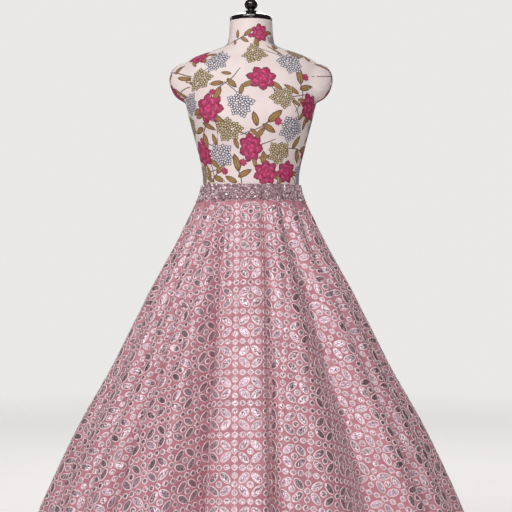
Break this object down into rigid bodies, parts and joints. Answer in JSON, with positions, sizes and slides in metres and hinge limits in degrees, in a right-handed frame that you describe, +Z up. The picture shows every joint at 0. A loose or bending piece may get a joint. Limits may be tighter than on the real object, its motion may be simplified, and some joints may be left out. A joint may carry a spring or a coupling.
{
  "type": "lehenga skirt on a limbless dress form",
  "caption": "Full-length flared lehenga skirt with deep flutes, mirror-work cloth and a beaded waistband, standing on a limbless dress form with a round stand.",
  "frame": {"origin": "middle of the round base's underside, on the floor", "axes": "+Z up the stand, the front of the skirt faces -Y, +X to the viewer's right"},
  "size_m": [1.2635, 1.191, 1.5833],
  "materials": {
    "skirt_cloth": "dusty pink georgette covered with a lattice of silver foil mirror work",
    "band_cloth": "mauve cloth closely covered with small silver beads and sequins",
    "form_cover": "cream cotton cover with a sparse printed flower pattern",
    "black_gloss": "black gloss lacquer",
    "stand_steel": "black powder-coated steel"
  },
  "bodies": {
    "root": {"skirt_front": "skirt_cloth", "skirt_back": "skirt_cloth", "waistband": "band_cloth", "dress_form": "form_cover", "neck_cap": "black_gloss", "stand_pole": "stand_steel", "stand_base": "stand_steel"}
  },
  "joints": []
}
